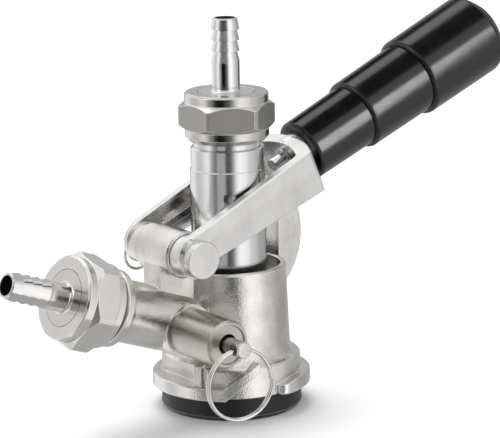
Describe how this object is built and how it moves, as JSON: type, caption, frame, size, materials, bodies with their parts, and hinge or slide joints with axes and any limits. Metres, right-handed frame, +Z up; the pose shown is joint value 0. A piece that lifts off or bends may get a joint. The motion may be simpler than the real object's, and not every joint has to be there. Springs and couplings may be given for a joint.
{
  "type": "keg coupler",
  "caption": "Lever-handle keg coupler with a bayonet base, sliding probe, hose tails on union nuts and a pull-ring relief valve.",
  "frame": {"origin": "centre of the lower face of the rubber body seal, on the probe's axis", "axes": "+Z up the probe's axis, +X towards the handle, -Y towards the relief valve"},
  "size_m": [0.1991, 0.0646, 0.1266],
  "materials": {
    "cast_nickel": "satin nickel plate over a fine sand cast skin",
    "polished_steel": "turned and polished stainless steel",
    "wire_steel": "bright drawn stainless wire",
    "seal_rubber": "satin black rubber",
    "red_silicone": "red silicone rubber",
    "grip_plastic": "glossy black moulded plastic",
    "brass": "turned brass"
  },
  "bodies": {
    "body": {"body_casting": "cast_nickel", "body_seal": "seal_rubber", "probe_gland_rings": "seal_rubber", "gas_check_valve": "seal_rubber", "gas_washer": "red_silicone", "gas_tailpiece": "polished_steel", "relief_barrel": "cast_nickel", "relief_spring": "wire_steel", "hinge_pin": "polished_steel"},
    "gas_nut": {"gas_nut": "polished_steel"},
    "relief_stem": {"relief_stem": "polished_steel", "relief_seat_rubber": "seal_rubber"},
    "pull_ring": {"relief_pull_ring": "wire_steel"},
    "pin_ring": {"hinge_pin_ring": "wire_steel"},
    "probe": {"probe_tube": "polished_steel", "probe_tip_seal": "seal_rubber", "ball_stop": "polished_steel", "beer_washer": "red_silicone", "beer_tailpiece": "polished_steel"},
    "beer_nut": {"beer_nut": "polished_steel"},
    "check_ball": {"beer_check_ball": "polished_steel"},
    "lever": {"lever_fork": "cast_nickel", "rod_bush": "polished_steel", "spring_plug": "brass", "handle_spring": "wire_steel"},
    "handle": {"plunger_rod": "polished_steel", "rod_collar": "polished_steel", "handle_insert": "brass", "handle_grip": "grip_plastic", "handle_end_cap": "grip_plastic"}
  },
  "joints": [
    {"name": "lever_hinge", "type": "hinge", "parent": "body", "child": "lever", "pos_m": [-0.0239, 0, 0.0547], "axis": [0, 1, 0], "range_deg": [0, 25.5]},
    {"name": "probe_slide", "type": "slide", "parent": "body", "child": "probe", "axis": [0, 0, -1], "range_m": [0, 0.0115]},
    {"name": "handle_pull", "type": "slide", "parent": "lever", "child": "handle", "axis": [0.9272, 0, 0.3746], "range_m": [0, 0.005], "stiffness_N_per_m": 900, "springref_m": -0.004, "deforming": ["handle_spring"]},
    {"name": "beer_nut_turn", "type": "hinge", "parent": "probe", "child": "beer_nut", "pos_m": [0, 0, 0.0952], "axis": [0, 0, 1], "continuous": true},
    {"name": "gas_nut_turn", "type": "hinge", "parent": "body", "child": "gas_nut", "pos_m": [-0.05685, 0, 0.04339], "axis": [-0.9397, 0, 0.342], "continuous": true},
    {"name": "check_ball_lift", "type": "slide", "parent": "probe", "child": "check_ball", "axis": [0, 0, 1], "range_m": [0, 0.0018]},
    {"name": "relief_pull", "type": "slide", "parent": "body", "child": "relief_stem", "axis": [0, -1, 0], "range_m": [0, 0.0025], "stiffness_N_per_m": 1200, "springref_m": -0.004, "deforming": ["relief_spring"]},
    {"name": "pull_ring_swing", "type": "hinge", "parent": "relief_stem", "child": "pull_ring", "pos_m": [-0.0239, -0.0361, 0.0297], "axis": [1, 0, 0], "range_deg": [-80, 12]},
    {"name": "pin_ring_swing", "type": "hinge", "parent": "body", "child": "pin_ring", "pos_m": [-0.0239, 0.0175, 0.0547], "axis": [1, 0, 0], "range_deg": [-4, 70]}
  ],
  "couplings": [
    {"joint": "probe_slide", "follows": "lever_hinge", "m_per_rad": 0.025603}
  ]
}
